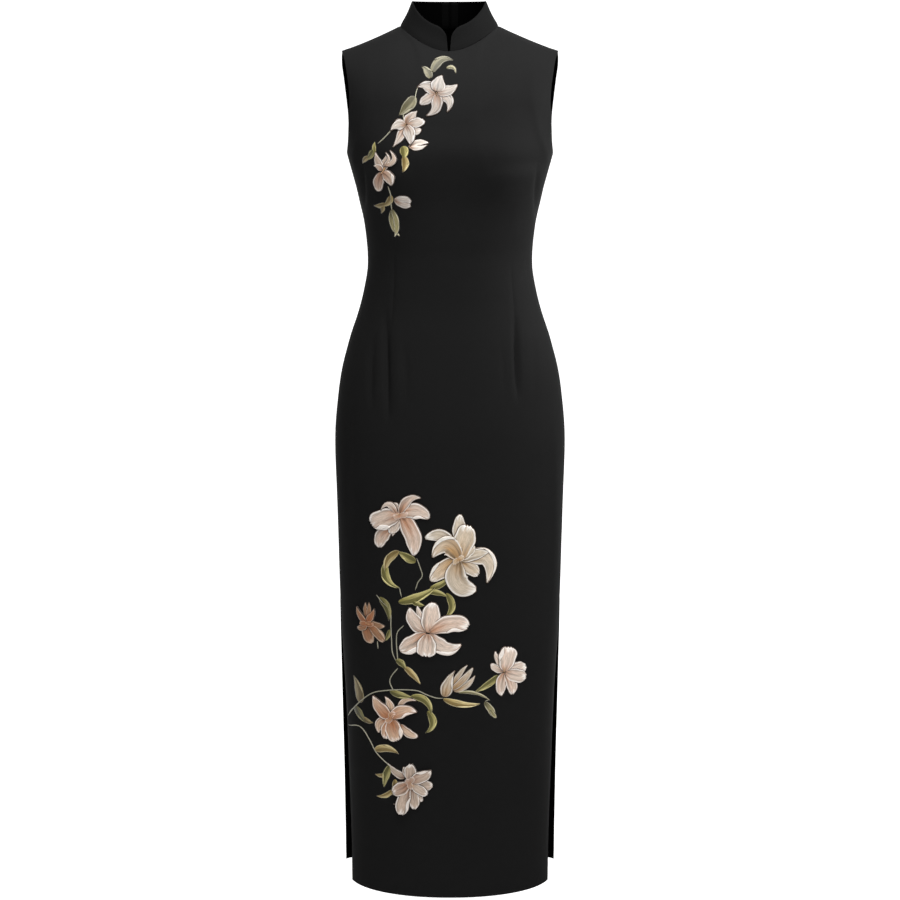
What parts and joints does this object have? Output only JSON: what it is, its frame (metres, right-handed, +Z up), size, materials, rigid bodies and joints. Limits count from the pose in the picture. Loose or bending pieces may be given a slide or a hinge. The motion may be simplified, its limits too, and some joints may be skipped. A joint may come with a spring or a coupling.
{
  "type": "cheongsam dress",
  "caption": "Sleeveless full-length cheongsam in its worn, hollow form, with a mandarin collar, darts, side slits and a centre-back zip.",
  "frame": {"origin": "midway between the two side neck points, where the shoulder seams meet the collar", "axes": "+Z up, -Y towards the front of the dress, +X towards the wearer's left"},
  "size_m": [0.3386, 0.246, 1.301],
  "materials": {
    "crepe": "matt black polyester crepe",
    "collar_crepe": "interfaced matt black crepe",
    "zip_metal": "black enamel"
  },
  "bodies": {
    "dress": {"front": "crepe", "back_left": "crepe", "back_right": "crepe", "collar_left": "collar_crepe", "collar_right": "collar_crepe", "zip_slider": "zip_metal"},
    "pull": {"zip_pull": "zip_metal"}
  },
  "joints": [
    {"name": "pull_hinge", "type": "hinge", "parent": "dress", "child": "pull", "pos_m": [0, 0.05073, 0.0265], "axis": [1, 0, 0], "range_deg": [0, 165]}
  ]
}
